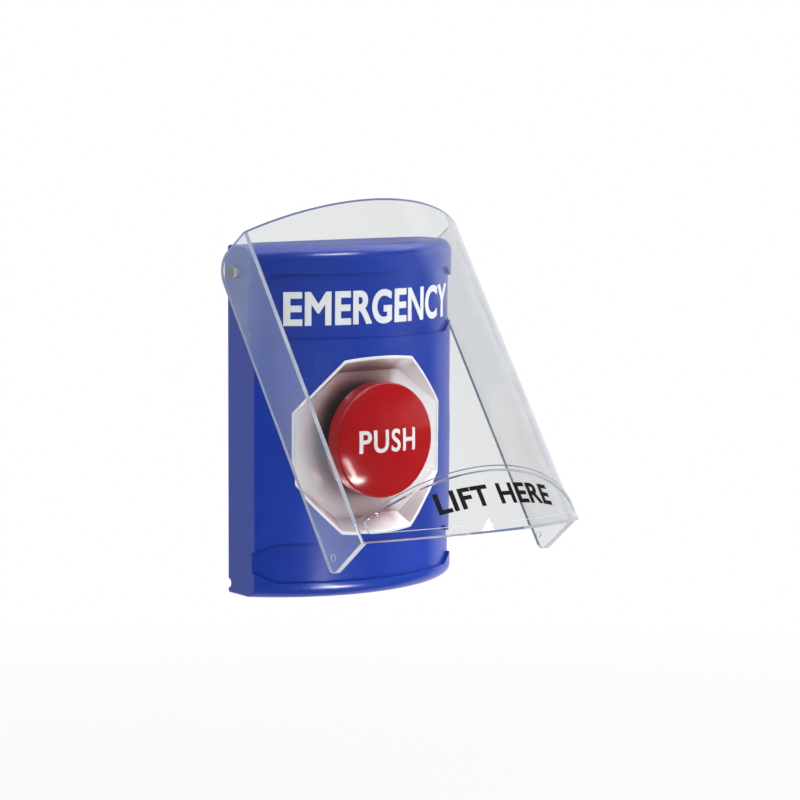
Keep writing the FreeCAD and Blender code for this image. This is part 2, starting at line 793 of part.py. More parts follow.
screws = []
upright = Rotation(Vector(1, 0, 0), -90)
screw_seat = D.housing_screw_head_sink
for x, y in housing_screw_spots:
    screw = turned("housing_screw", screw_profile(screw_seat, D.housing_screw_radius,
                                                  D.housing_screw_length,
                                                  D.housing_screw_head_radius, screw_seat))
    screws.append(place(screw, (x, y, -half_height), upright))
keep(group("Compound", "housing_screws", screws), "housing_screws")


# Circuit board on its posts, with the sounder, its disc and a lead terminal

board_middle = (board_low + board_high) / 2
board = new_body("circuit_board")
pad(board, "XZ_Plane", D.board_depth, D.board_thickness,
    rectangle(-board_half_width, board_low, board_half_width, board_high),
    [(x, z, D.post_screw_radius) for x, z in board_posts])
keep(board, "circuit_board")


def post_screw(x, z, seat, length):
    return turned("post_screw", screw_profile(seat, D.post_screw_radius, length,
                                              D.post_screw_head_radius, D.post_screw_head), (x, 0, z))


keep(group("Compound", "board_screws", [post_screw(x, z, D.board_depth, D.post_screw_length)
                                        for x, z in board_posts]), "board_screws")

sounder_at = (dim(0), dim(0), board_middle)
sounder_front = board_front + D.sounder_height
sounder_bore = D.sounder_radius - D.sounder_wall
disc_depth = board_front + D.sounder_height / 2
keep(turned("sounder_case", [
    (D.sounder_mouth_radius, sounder_front), (D.sounder_radius, sounder_front),
    (D.sounder_radius, board_front), (sounder_bore, board_front),
    (sounder_bore, sounder_front - D.sounder_wall),
    (D.sounder_mouth_radius, sounder_front - D.sounder_wall)], sounder_at), "sounder_case")
keep(turned("sounder_disc", [
    (0, disc_depth + D.piezo_thickness), (sounder_bore, disc_depth + D.piezo_thickness),
    (sounder_bore, disc_depth), (0, disc_depth)], sounder_at), "sounder_disc")

terminal = new_body("lead_terminal", (board_half_width / 2, dim(0), board_middle))
terminal_rear = D.board_depth - D.terminal_length
pad(terminal, "XZ_Plane", terminal_rear, D.terminal_length,
    rectangle(-D.terminal_half_width, -D.terminal_height / 2,
              D.terminal_half_width, D.terminal_height / 2))
for side in (-1, 1):
    lead_x = side * D.terminal_half_width / 2
    pocket(terminal, "XY_Plane", -(D.terminal_height / 2 + CUT_SPILL),
           D.terminal_height / 2 + CUT_SPILL, [],
           [(lead_x, -(terminal_rear + D.terminal_length / 2), D.terminal_half_width / 4)])
keep(terminal, "lead_terminal")


# Battery, its snap and the tray that holds them

battery_left = -(D.battery_width + D.snap_thickness) / 2
battery_end = battery_left + D.battery_width
battery_rear = D.plate_thickness + D.battery_rear_gap
battery_front = tray_floor - D.tray_gap
battery_depth = (battery_rear + battery_front) / 2
studs = [(-battery_depth, battery_middle + side * D.stud_spacing / 2) for side in (-1, 1)]
battery = new_body("battery")
pad(battery, "YZ_Plane", battery_left, D.battery_width,
    rounded_rectangle(-battery_front, battery_low, -battery_rear,
                      battery_low + D.battery_height, D.battery_round))
pad(battery, "YZ_Plane", battery_end, D.stud_length, [],
    [(y, z, D.stud_radius) for y, z in studs])
keep(battery, "battery")

snap = new_body("battery_snap")
snap_trim = D.battery_round / 2
pad(snap, "YZ_Plane", battery_end, D.snap_thickness,
    rectangle(-(battery_front - snap_trim), battery_low + snap_trim,
              -(battery_rear + snap_trim), battery_low + D.battery_height - snap_trim),
    [(y, z, D.stud_radius + D.snap_gap) for y, z in studs])
keep(snap, "battery_snap")

tray = new_body("battery_tray")
tray_low = battery_low - D.tray_gap
tray_high = battery_low + D.battery_height + D.tray_gap
tray_rear = D.flange_depth + D.tray_flange_gap
tray_outside = rectangle(-tray_outer_half, tray_low - D.tray_wall, tray_outer_half,
                         tray_high + D.tray_wall)
pad(tray, "XZ_Plane", tray_floor, D.tray_wall, tray_outside)
pad(tray, "XZ_Plane", tray_rear, tray_floor - tray_rear, tray_outside, (),
    [rectangle(-tray_inner_half, tray_low, tray_inner_half, tray_high)])
for side in (-1, 1):
    pad(tray, "XZ_Plane", tray_ear_front - D.tray_wall, D.tray_wall,
        rectangle(side * (tray_outer_half - D.tray_wall / 2), battery_middle - D.tray_ear_half_height,
                  side * (tray_outer_half + D.tray_ear_reach), battery_middle + D.tray_ear_half_height),
        [(side * tray_screw_offset, battery_middle, D.post_screw_radius)])
keep(tray, "battery_tray")
keep(group("Compound", "tray_screws", [post_screw(x, z, tray_ear_front - D.tray_wall, D.tray_screw_length)
                                       for x, z in tray_posts]), "tray_screws")


# Cover switch on the left side wall, with its lever under the cam

switch_wall = -inner_half
switch = new_body("cover_switch")
switch_low = switch_top - D.switch_height
pad(switch, "YZ_Plane", switch_wall, D.switch_thickness,
    rectangle(-(D.pivot_depth + D.switch_depth / 2), switch_low,
              -(D.pivot_depth - D.switch_depth / 2), switch_top),
    [(y, z, D.peg_radius) for y, z in pegs])
keep(switch, "cover_switch")

lever = new_body("switch_lever")
lever_rear = -(D.pivot_depth - D.switch_depth / 2)
lever_front = -(D.pivot_depth + D.switch_depth / 2)
lever_foot = lever_rear - 2 * D.lever_thickness
arm_low = switch_top + D.lever_rise
pad(lever, "YZ_Plane", switch_wall + D.lever_rise, D.switch_thickness - 2 * D.lever_rise,
    [(lever_rear, switch_top), (lever_rear, arm_low + D.lever_thickness),
     (lever_front, arm_low + D.lever_thickness), (lever_front, arm_low),
     (lever_foot, arm_low), (lever_foot, switch_top)])
keep(lever, "switch_lever")


# Pivot pins, pressed into the cover and running in the housing, with a cam and a clip inside

pivot = (dim(0), -D.pivot_depth, pivot_height)
cam_outer = inner_half - D.cam_gap
pin_end = cam_outer - D.cam_thickness + D.pin_short
cover_half_width = half_width + D.cover_side_gap + D.cover_wall
for side, word in ((-1, "left"), (1, "right")):
    face = cover_half_width
    profile = [(pin_end, 0), (face + D.pin_head_thickness, 0),
               (face + D.pin_head_thickness, D.pin_head_radius), (face, D.pin_head_radius),
               (face, D.pin_radius), (pin_end, D.pin_radius)]
    pin = turned("pivot_pin_" + word, [(side * x, radius) for x, radius in profile], pivot, "H_Axis")
    keep(pin, "pivot_pin_" + word)

cover_turn = Rotation(Vector(1, 0, 0), -D.cover_open_angle.value)
cam = new_body("switch_cam")
flat_half = root(D.cam_radius * D.cam_radius - D.cam_flat * D.cam_flat)
pad(cam, "YZ_Plane", -cam_outer, D.cam_thickness,
    [(-flat_half, -D.cam_flat, D.cam_radius), (flat_half, -D.cam_flat), (0, D.cam_radius, D.cam_radius)],
    [(0, 0, D.pin_radius)])
keep(place(cam, pivot, cover_turn), "switch_cam")

clip = new_body("pin_clip", pivot)
pad(clip, "YZ_Plane", cam_outer - D.clip_thickness, D.clip_thickness, [],
    [(0, 0, D.clip_radius), (0, 0, D.pin_radius)])
keep(clip, "pin_clip")


# Clear cover: two ears and a front that is an arc in plan, open above and below. The front's lower edge
# drops towards the middle as a lip. A rim along it and a bead that rises towards the middle frame the
# lip's face. It is modelled hanging straight down from the pivot and then swung open.

SIZES = SimpleNamespace(**{alias: getattr(D, alias).value for alias in DRIVING_SIZES})
chord = SIZES.pivot_depth - SIZES.side_depth - SIZES.cover_front_gap
outer_half = cover_half_width.value
outer_rise = SIZES.front_rise + SIZES.cover_rise_gain
outer_radius = outer_rise / 2 + outer_half ** 2 / (outer_rise * 2)
arc_centre = chord - outer_rise + outer_radius
ear_half = outer_half - SIZES.cover_wall
inner_radius = outer_radius - SIZES.cover_wall
corner = arc_centre - math.sqrt(inner_radius ** 2 - ear_half ** 2)
rear_edge = SIZES.pivot_depth - SIZES.cover_rear_gap
cover_top = rear_edge
cover_bottom = SIZES.housing_height - SIZES.pivot_drop + SIZES.cover_overhang
lip_drop = cover_bottom - SIZES.toe_drop
bead_drop = lip_drop - SIZES.bead_rise
far = 8 * outer_half


def cover_block(half, radius, rear):
    """A tall block with an arc in front, as wide as the arc's ends."""
    front = arc_centre - math.sqrt(radius ** 2 - half ** 2)
    left, middle, right = (Vector(-half, front, -far), Vector(0, arc_centre - radius, -far),
                           Vector(half, front, -far))
    back_right, back_left = Vector(half, rear, -far), Vector(-half, rear, -far)
    arc = Part.Arc(left, middle, right).toShape()
    sides = Part.makePolygon([right, back_right, back_left, left]).Edges
    return Part.Face(Part.Wire([arc] + sides)).extrude(Vector(0, 0, far + cover_top))


def above(drop, slope):
    """All that is above a plane that slopes from a line across the cover's two front corners."""
    rise = slope * far
    low = [(chord - far, rise - drop), (chord + far, -rise - drop)]
    high = [(chord + far, far), (chord - far, far)]
    points = [Vector(-far, y, z) for y, z in low + high + low[:1]]
    return Part.Face(Part.makePolygon(points)).extrude(Vector(2 * far, 0, 0))


above_edge = above(lip_drop, -SIZES.lip_slope)
above_rim = above(lip_drop - SIZES.lip_rim_height, -SIZES.lip_slope)
above_panel = above(bead_drop, SIZES.bead_slope)
above_bead = above(bead_drop - SIZES.bead_width, SIZES.bead_slope)
outside = cover_block(outer_half, outer_radius, corner)
inside = cover_block(ear_half, inner_radius, corner + SIZES.cover_wall)
proud = cover_block(outer_half, outer_radius + SIZES.bead_height, corner)
panel = cover_block(ear_half, outer_radius + 2 * SIZES.bead_height, corner).cut(outside)
frame = proud.cut(above_bead).cut(panel.common(above_rim).cut(above_panel))
front_wall = outside.fuse(frame).cut(inside).common(above_edge)

toe = SIZES.cover_toe_radius
toe_middle = Vector(0, rear_edge - toe, toe - cover_bottom)
diagonal = math.sqrt(0.5)
ear_corners = [Vector(0, rear_edge, 0), Vector(0, 0, cover_top), Vector(0, chord, cover_top),
               Vector(0, chord, -lip_drop), Vector(0, rear_edge - toe, -cover_bottom),
               Vector(0, rear_edge, toe - cover_bottom)]
ear_edges = [
    Part.Arc(ear_corners[0], Vector(0, rear_edge * diagonal, rear_edge * diagonal),
             ear_corners[1]).toShape(),
    Part.makeLine(ear_corners[1], ear_corners[2]),
    Part.makeLine(ear_corners[2], ear_corners[3]),
    Part.makeLine(ear_corners[3], ear_corners[4]),
    Part.Arc(ear_corners[4], toe_middle + Vector(0, toe * diagonal, -toe * diagonal),
             ear_corners[5]).toShape(),
    Part.makeLine(ear_corners[5], ear_corners[0])]
ear_face = Part.Face(Part.Wire(ear_edges))

cover = front_wall
for side in (-1, 1):
    ear = ear_face.extrude(Vector(side * SIZES.cover_wall, 0, 0))
    ear.translate(Vector(side * ear_half, 0, 0))
    nub = Part.makeCylinder(SIZES.nub_radius, SIZES.nub_height + SIZES.cover_wall / 2,
                            Vector(side * (ear_half - SIZES.nub_height), rear_edge - SIZES.nub_inset,
                                   SIZES.nub_rise - cover_bottom),
                            Vector(side, 0, 0))
    bore = Part.makeCylinder(SIZES.pin_radius, 3 * SIZES.cover_wall,
                             Vector(side * (ear_half - SIZES.cover_wall), 0, 0), Vector(side, 0, 0))
    cover = cover.fuse([ear, nub]).cut(bore)

shield = doc.addObject("Part::Feature", "shield")
shield.Shape = cover.removeSplitter()
keep(place(shield, pivot, cover_turn), "shield")


# Every piece is checked, then written to its own file

doc.recompute()
for obj in doc.Objects:
    if "Invalid" in obj.State or "Error" in obj.State:
        raise ValueError("%s cannot be rebuilt: %s" % (obj.Label, obj.State))
for node in nodes:
    if node.Shape.isNull() or not node.Shape.isValid() or not node.Shape.Solids:
        raise ValueError(node.Label + " is not a sound solid")
os.makedirs("parts", exist_ok=True)
for node in nodes:
    node.Shape.exportStep("parts/%s.step" % node.Label)
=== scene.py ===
import itertools
import math

import bmesh
import bpy
from mathutils import Matrix, Quaternion, Vector


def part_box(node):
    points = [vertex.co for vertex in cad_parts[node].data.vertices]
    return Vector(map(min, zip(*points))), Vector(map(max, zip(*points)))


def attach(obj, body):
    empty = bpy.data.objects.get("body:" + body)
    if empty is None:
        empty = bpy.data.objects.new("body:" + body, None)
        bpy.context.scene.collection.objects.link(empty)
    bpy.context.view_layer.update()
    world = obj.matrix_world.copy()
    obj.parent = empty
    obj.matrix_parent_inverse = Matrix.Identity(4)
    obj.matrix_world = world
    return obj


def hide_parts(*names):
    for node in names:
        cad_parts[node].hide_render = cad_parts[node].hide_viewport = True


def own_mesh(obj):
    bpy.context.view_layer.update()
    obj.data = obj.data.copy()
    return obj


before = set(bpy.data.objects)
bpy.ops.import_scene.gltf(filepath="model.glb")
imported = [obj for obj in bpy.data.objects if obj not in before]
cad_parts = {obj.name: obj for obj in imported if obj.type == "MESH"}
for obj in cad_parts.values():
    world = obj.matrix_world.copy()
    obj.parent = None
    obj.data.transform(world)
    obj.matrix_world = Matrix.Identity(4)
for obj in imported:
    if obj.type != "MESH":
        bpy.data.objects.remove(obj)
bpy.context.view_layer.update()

# The view: the station hangs at eye height and is seen from its left and a little from above, from about
# a metre away through a long lens.
VIEW_FROM_LEFT = math.radians(36.105)
VIEW_FROM_ABOVE = math.radians(6.575)
VIEW_ROLL = math.radians(0.266)
VIEW_DISTANCE = 1.05744
VIEW_CENTRE = Vector((0.017892, -0.020, 0.005081))
SENSOR_WIDTH = 36
LENS_PER_SENSOR = 3.63825
NEAREST_SEEN = 0.05
FARTHEST_SEEN = 40


def put(name, data):
    """A new object in the scene."""
    thing = bpy.data.objects.new(name, data)
    bpy.context.scene.collection.objects.link(thing)
    return thing


camera = put("camera", bpy.data.cameras.new("camera"))
camera.data.sensor_width = SENSOR_WIDTH
camera.data.lens = SENSOR_WIDTH * LENS_PER_SENSOR
camera.data.clip_start = NEAREST_SEEN
camera.data.clip_end = FARTHEST_SEEN
towards_camera = Vector((-math.sin(VIEW_FROM_LEFT) * math.cos(VIEW_FROM_ABOVE),
                         -math.cos(VIEW_FROM_LEFT) * math.cos(VIEW_FROM_ABOVE),
                         math.sin(VIEW_FROM_ABOVE)))
level_right = (-towards_camera).cross(Vector((0, 0, 1))).normalized()
level_up = level_right.cross(-towards_camera)
view_right = level_right * math.cos(VIEW_ROLL) + level_up * math.sin(VIEW_ROLL)
view_up = level_up * math.cos(VIEW_ROLL) - level_right * math.sin(VIEW_ROLL)
camera.matrix_world = (Matrix.Translation(VIEW_CENTRE + towards_camera * VIEW_DISTANCE)
                       @ Matrix((view_right, view_up, towards_camera)).transposed().to_4x4())
bpy.context.scene.camera = camera
bpy.context.scene.view_settings.view_transform = "Standard"


# The studio: a white room with a pale floor some way below the station, and large soft lamps. What is
# mirrored in the plastic is a white rear wall and two panels of light, and under the clear cover a roof.
# Each pair of numbers says between which values something fades in.
class Shade:
    """A socket of a node tree. Arithmetic on it adds Math nodes, and node() adds any other node."""

    def __init__(self, tree, socket=None):
        self.tree = tree
        self.socket = socket

    def node(self, kind, settings=(), sockets=(), output=0):
        made = self.tree.nodes.new(kind if "Node" in kind else "ShaderNode" + kind)
        for name, value in dict(settings).items():
            setattr(made, name, value)
        for name, value in dict(sockets).items():
            parts = value if isinstance(value, list) else [value]
            if isinstance(parts[0], Shade):
                for part in parts:
                    self.tree.links.new(part.socket, made.inputs[name])
            else:
                made.inputs[name].default_value = value
        return Shade(self.tree, made.outputs[output])

    def worked(self, operation, *values):
        return self.node("Math", {"operation": operation}, enumerate(values))

    def __add__(self, other):
        return self.worked("ADD", self, other)

    def __radd__(self, other):
        return self.worked("ADD", other, self)

    def __sub__(self, other):
        return self.worked("SUBTRACT", self, other)

    def __rsub__(self, other):
        return self.worked("SUBTRACT", other, self)

    def __mul__(self, other):
        return self.worked("MULTIPLY", self, other)

    def __rmul__(self, other):
        return self.worked("MULTIPLY", other, self)

    def __truediv__(self, other):
        return self.worked("DIVIDE", self, other)

    def __rtruediv__(self, other):
        return self.worked("DIVIDE", other, self)

    def __mod__(self, other):
        return self.worked("MODULO", self, other)

    def __neg__(self):
        return self.worked("SUBTRACT", 0, self)

    def __abs__(self):
        return self.worked("ABSOLUTE", self)

    def at_least(self, other):
        """The larger of the two."""
        return self.worked("MAXIMUM", self, other)

    def held(self, low, high):
        """How far the value has got from low to high, between 0 and 1."""
        return self.node("MapRange", {"clamp": True}, {"Value": self, "From Min": low, "From Max": high})


def mixed(amount, first, second):
    """A colour between two others."""
    return amount.node("Mix", {"data_type": "RGBA"}, {0: amount, 6: first, 7: second}, 2)


def light_paths(shade, *names):
    return [shade.node("LightPath", output=name) for name in names]


def fill_tree(owner, kind, make, **look):
    """Give a world or a material the surface that a function makes from the values of its look."""
    owner.use_nodes = True
    owner.node_tree.nodes.clear()
    output = owner.node_tree.nodes.new("ShaderNodeOutput" + kind)
    surface = make(Shade(owner.node_tree), **look)
    owner.node_tree.links.new(surface.socket, output.inputs["Surface"])


def finish(name, make, **look):
    material = bpy.data.materials.new(name)
    fill_tree(material, "Material", make, **look)
    return material


WHITE = (1, 1, 1, 1)
ROOM_LEVEL = 0.50
DARK_ROOM = 0.03
REAR_WALL = (-0.24, -0.10)
SIDE_PANEL = (0.90, 0.92)
FRONT_PANEL = (0.36, 0.44)
FRONT_PANEL_HEIGHT = (0.34, 0.22)
IN_FRONT = (0, 0.1)
MORE_THAN_ONE = (1.0, 1.5)
WALL_LOST_UNDER_COVER = 0.5
PANEL_LOST_UNDER_COVER = 0.35
ROOF_HEIGHT = (0.50, 0.60)
ROOF_BACK = (-0.50, -0.40)
ROOF_LEVEL = 1.2
ROOF_GLARE = 4.5
GLARE_FORWARD = (0.6, -0.3)


def room_light(room):
    """White straight ahead, and an even grey for soft light. A mirror shows wall, panels and roof."""
    direct, through, glossy, mirrors, clear_walls = light_paths(
        room, "Is Camera Ray", "Is Transmission Ray", "Is Glossy Ray", "Glossy Depth", "Transmission Depth")
    way = room.node("TexCoord", output="Generated")
    rightward, rearward, upward = [room.node("SeparateXYZ", (), {0: way}, name) for name in "XYZ"]
    forward = -rearward
    under_cover = clear_walls.held(*MORE_THAN_ONE)
    wall = rearward.held(*REAR_WALL) * (1 - under_cover * WALL_LOST_UNDER_COVER)
    side_panel = rightward.held(*SIDE_PANEL)
    front_panel = ((rightward / forward).held(*FRONT_PANEL) * forward.held(*IN_FRONT)
                   * abs(upward).held(*FRONT_PANEL_HEIGHT) * (1 - under_cover * PANEL_LOST_UNDER_COVER))
    panels = (wall + side_panel + front_panel).held(0, 1)
    roof = upward.held(*ROOF_HEIGHT) * rearward.held(*ROOF_BACK) * under_cover
    roof_light = roof * (rearward.held(*GLARE_FORWARD) * ROOF_GLARE + ROOF_LEVEL)
    mirror_level = panels * (1 - DARK_ROOM) + DARK_ROOM + roof_light
    straight = (direct + through * (1 - mirrors.held(0, 1))).held(0, 1)
    polished = (glossy + through).held(0, 1) * (1 - straight)
    strength = straight + polished * mirror_level + (1 - straight - polished) * ROOM_LEVEL
    return room.node("Background", (), {"Color": WHITE, "Strength": strength})


world = bpy.data.worlds.new("studio")
bpy.context.scene.world = world
fill_tree(world, "World", room_light)

FLOOR_DROP = 0.30
FLOOR_HALF = 9.0
FLOOR_PAINT = (0.90, 0.90, 0.90, 1)
DARK_FLOOR = (0.04, 0.04, 0.04, 1)
SHADOW_SHARE = 0.45
WHITE_AWAY = (0.25, 1.2)
DARK_IN_FRONT = (0.0, -0.10)
PATCH_START = (0.553, 0.561)
PATCH_END = (0.576, 0.564)
PATCH_SHADE = 0.6


def pale_floor(paint):
    """Matt below the station, where its shadow falls, and plain white further out. In a mirror the floor is
    white behind the station, with a greyer patch to its left, and dark in front of it."""
    spot = paint.node("TexCoord", output="Object")
    x, y = [paint.node("SeparateXYZ", (), {0: spot}, name) for name in "XY"]
    away = paint.node("VectorMath", {"operation": "LENGTH"}, {0: spot}, "Value")
    leftward = -x / away
    patch = leftward.held(*PATCH_START) * leftward.held(*PATCH_END)
    darkened = y.held(*DARK_IN_FRONT).at_least(patch * PATCH_SHADE)
    seen, through, glossy, bounced, scattered = light_paths(
        paint, "Is Camera Ray", "Is Transmission Ray", "Is Glossy Ray", "Is Reflection Ray",
        "Is Diffuse Ray")
    mirrored = bounced * (1 - scattered)
    glow = mixed(mirrored * darkened, WHITE, DARK_FLOOR)
    open_view = (seen + through + glossy).held(0, 1) * (away.held(*WHITE_AWAY) * SHADOW_SHARE
                                                        + (1 - SHADOW_SHARE))
    matt = paint.node("BsdfDiffuse", (), {"Color": FLOOR_PAINT})
    bright = paint.node("Emission", (), {"Color": glow, "Strength": 1.0})
    return paint.node("MixShader", (), {0: open_view.at_least(mirrored), 1: matt, 2: bright})


floor_mesh = bpy.data.meshes.new("floor")
floor_mesh.from_pydata([(x * FLOOR_HALF, y * FLOOR_HALF, -FLOOR_DROP)
                        for x, y in ((-1, -1), (1, -1), (1, 1), (-1, 1))], [], [(0, 1, 2, 3)])
floor_mesh.materials.append(finish("floor_paint", pale_floor))
floor = put("floor", floor_mesh)

LAMP_AIM = Vector((0, -0.03, 0))


def soft_lamp(name, place, width, height, power, glint=False, roll=0.0):
    """A rectangular lamp that faces the station and lights it evenly, or only as a glint on its edges."""
    lamp = bpy.data.lights.new(name, "AREA")
    lamp.shape = "RECTANGLE"
    lamp.size = width
    lamp.size_y = height
    lamp.energy = power
    holder = put(name, lamp)
    holder.location = place
    holder.visible_camera = False
    holder.visible_transmission = False
    holder.visible_glossy = glint
    holder.visible_diffuse = not glint
    facing = (LAMP_AIM - Vector(place)).to_track_quat("-Z", "Y")
    holder.rotation_euler = (facing @ Quaternion((0, 0, 1), roll)).to_euler()


soft_lamp("lamp_right", (0.95, -0.62, 0.02), width=0.5, height=0.5, power=9)
soft_lamp("lamp_front", (0.0, -1.25, 0.85), width=0.35, height=0.6, power=8)
soft_lamp("lamp_above", (-0.15, -0.10, 1.4), width=1.0, height=0.7, power=9)
soft_lamp("glint_above", (0.12, -0.90, 0.78), width=0.45, height=0.08, power=12, glint=True)
soft_lamp("glint_below", (0.02, -0.36, -0.272), width=0.13, height=0.013, power=1.5, glint=True)
soft_lamp("glint_left", (-0.012, -0.38, -0.215), width=0.19, height=0.015, power=0.75, glint=True,
          roll=math.radians(-54))


# Back plate: pressed steel sheet with a clear zinc plating, screwed to the wall box first. Its plating is
# slightly cloudy, with fine rolling lines.
SOFT_NOISE = (0.3, 0.7)
CLOUD_SHADE = 0.86


def grain(shade, size, detail=2.0, stretch=(1, 1, 1)):
    """Fine, even noise whose spots are about as wide as the size, in metres."""
    place = shade.node("TexCoord", output="Object")
    place = shade.node("VectorMath", {"operation": "MULTIPLY"}, {0: place, 1: stretch})
    return shade.node("TexNoise", (), {"Vector": place, "Scale": 1 / size, "Detail": detail})


def relief(shade, height, depth):
    """The normal of a surface with a relief of that depth, in metres."""
    return shade.node("Bump", (), {"Height": height, "Distance": depth, "Strength": 1.0})


def varied(middle, *patterns):
    """A number that patterns move about its middle, each through its own span."""
    for pattern, span in patterns:
        middle = middle + (pattern - 0.5) * span
    return middle


def plated(shade, colour, roughness, lines=(1, 1, 1)):
    cloud = grain(shade, size=0.012, detail=3).held(*SOFT_NOISE)
    streak = grain(shade, size=0.0004, stretch=lines)
    tone = mixed(cloud, [part * CLOUD_SHADE for part in colour] + [1], [*colour, 1])
    return shade.node("BsdfPrincipled", (), {
        "Base Color": tone, "Metallic": 1.0, "Roughness": varied(roughness, (cloud, 0.08), (streak, 0.10)),
        "Normal": relief(shade, streak, depth=0.00001)})


zinc = finish("zinc_plating", plated, colour=(0.62, 0.64, 0.67), roughness=0.34, lines=(1, 1, 0.05))

MERGE_DISTANCE = 0.000002
SLIVER_DISTANCE = 0.000001
FLAT_ANGLE = math.radians(0.3)
CORNER_ANGLE = math.radians(32)
UPRIGHT_SLOPE = 0.02
ALONG_SPOKE = 0.9985


def plain_mesh(thing):
    """The mesh that an object comes to with its modifiers."""
    bpy.context.view_layer.update()
    return bpy.data.meshes.new_from_object(thing.evaluated_get(bpy.context.evaluated_depsgraph_get()))


def soften(piece, width, angle):
    """Round the edges of a piece that are sharper than the angle."""
    edge = piece.modifiers.new("edge", "BEVEL")
    edge.width = width
    edge.segments = 2
    edge.limit_method = "ANGLE"
    edge.angle_limit = angle


def smooth_copy(node, material, body, edge=0.0, arc=None):
    """The visible piece for a CAD node: a copy with joined faces and softened edges, smooth but for its
    corners. The arc is the upright axis that a curved wall is turned about, as a place and a tilt."""
    shape = bmesh.new()
    shape.from_mesh(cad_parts[node].data)
    bmesh.ops.remove_doubles(shape, verts=shape.verts, dist=MERGE_DISTANCE)
    bmesh.ops.dissolve_degenerate(shape, edges=shape.edges, dist=SLIVER_DISTANCE)
    bmesh.ops.dissolve_limit(shape, angle_limit=FLAT_ANGLE, verts=shape.verts, edges=shape.edges)
    mesh = bpy.data.meshes.new("skin_" + node)
    shape.to_mesh(mesh)
    shape.free()
    mesh.shade_smooth()
    mesh.set_sharp_from_angle(angle=CORNER_ANGLE)
    skin = put("skin_" + node, mesh)
    if edge:
        soften(skin, edge, CORNER_ANGLE)
    weigh = skin.modifiers.new("even_normals", "WEIGHTED_NORMAL")
    weigh.keep_sharp = True
    weigh.weight = 100
    skin.data = plain_mesh(skin)
    skin.modifiers.clear()
    if arc:
        round_walls(skin.data, *arc)
    skin.data.materials.clear()
    skin.data.materials.append(material)
    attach(skin, body)
    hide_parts(node)
    return skin


def round_walls(mesh, axis, tilt):
    """Give faces on a wall that is turned about an upright axis the normals of the true curve."""
    level = Matrix.Rotation(-tilt, 3, "X")
    normals = [corner.vector.copy() for corner in mesh.corner_normals]
    for face in mesh.polygons:
        facing = level @ face.normal
        away = (level @ (face.center - axis)).xy
        along = facing.xy.normalized().dot(away.normalized())
        if abs(facing.z) > UPRIGHT_SLOPE or abs(along) < ALONG_SPOKE:
            continue
        for loop in face.loop_indices:
            corner = mesh.vertices[mesh.loops[loop].vertex_index].co
            spoke = (level @ (corner - axis)).xy.normalized() * math.copysign(1, along)
            normals[loop] = level.transposed() @ spoke.to_3d()
    mesh.normals_split_custom_set(normals)


smooth_copy("back_plate", zinc, "station", edge=0.0003)


# Housing: one moulding in blue plastic, with a satin skin from the tool and the faint ripple of a
# moulded wall. It hooks on the plate's lugs and is screwed from below.
FRONT_RISE = 0.0165
DARK_RIPPLE = 0.94
LIGHT_RIPPLE = 1.05


def moulded(shade, colour, roughness, texture=0.00035, depth=0.000006, gloss=0.35):
    ripple = grain(shade, size=0.018).held(*SOFT_NOISE)
    skin = grain(shade, size=texture, detail=3)
    tone = mixed(ripple, [part * DARK_RIPPLE for part in colour] + [1],
                 [min(part * LIGHT_RIPPLE, 1) for part in colour] + [1])
    return shade.node("BsdfPrincipled", (), {
        "Base Color": tone, "Roughness": varied(roughness, (ripple, 0.05), (skin, 0.08)),
        "Specular IOR Level": gloss, "Normal": relief(shade, skin, depth)})


def arc_radius(half, rise):
    """The radius of an arc from its half width and its rise."""
    return rise / 2 + half ** 2 / (rise * 2)


blue = finish("blue_moulding", moulded, colour=(0.008, 0.037, 0.335), roughness=0.25, gloss=0.36)
front_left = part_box("housing")[0]
FRONT_DEPTH = -front_left.y
FRONT_RADIUS = arc_radius(-front_left.x, FRONT_RISE)
FRONT_AXIS = Vector((0, FRONT_RADIUS - FRONT_DEPTH, 0))
smooth_copy("housing", blue, "station", edge=0.00025, arc=(FRONT_AXIS, 0))


# The word on the upper band: white ink, printed on the curved floor of the band before anything is built
# into the housing. The ink lies about a tenth of a millimetre proud.
BAND_RECESS = 0.0013
INK_THICKNESS = 0.00012
LETTER_STEPS = 8
LETTER_MERGE = 0.00001
BEND_STEP = 0.001
LONGEST_CORNER = 1.5
SHORTEST_SUM = 0.01


def flat_letters(name, words, spacing):
    """The words as a flat mesh in plain type."""
    curve = bpy.data.curves.new(name, "FONT")
    curve.body = words
    curve.space_character = spacing
    curve.resolution_u = LETTER_STEPS
    text = put(name + "_text", curve)
    mesh = plain_mesh(text)
    bpy.data.objects.remove(text)
    return mesh


def embolden(shape, weight):
    """Move the outlines of flat lettering outwards, with their corners kept."""
    outward = {}
    for edge in shape.edges:
        if edge.is_boundary:
            loop = edge.link_loops[0]
            run = (loop.link_loop_next.vert.co - loop.vert.co).normalized()
            for vertex in edge.verts:
                outward.setdefault(vertex, []).append(Vector((run.y, -run.x, 0)))
    for vertex, sides in outward.items():
        total = sides[0] + sides[-1]
        corner = total * (2 / max(total.length_squared, SHORTEST_SUM))
        vertex.co += corner * min(weight, weight * LONGEST_CORNER / max(corner.length, SHORTEST_SUM))


def thicken(shape):
    """Give flat lettering the thickness of its ink, with a back and with walls along its outlines."""
    rims = [edge.link_loops[0] for edge in shape.edges if edge.is_boundary]
    rims = [(loop.vert, loop.link_loop_next.vert) for loop in rims]
    copied = bmesh.ops.duplicate(shape, geom=shape.faces[:])
    behind = copied["vert_map"]
    back_faces = [item for item in copied["geom"] if isinstance(item, bmesh.types.BMFace)]
    for vertex in shape.verts:
        vertex.co.z = INK_THICKNESS
    for face in back_faces:
        for vertex in face.verts:
            vertex.co.z = 0
    for first, second in rims:
        shape.faces.new((second, first, behind[first], behind[second]))
    bmesh.ops.reverse_faces(shape, faces=back_faces)


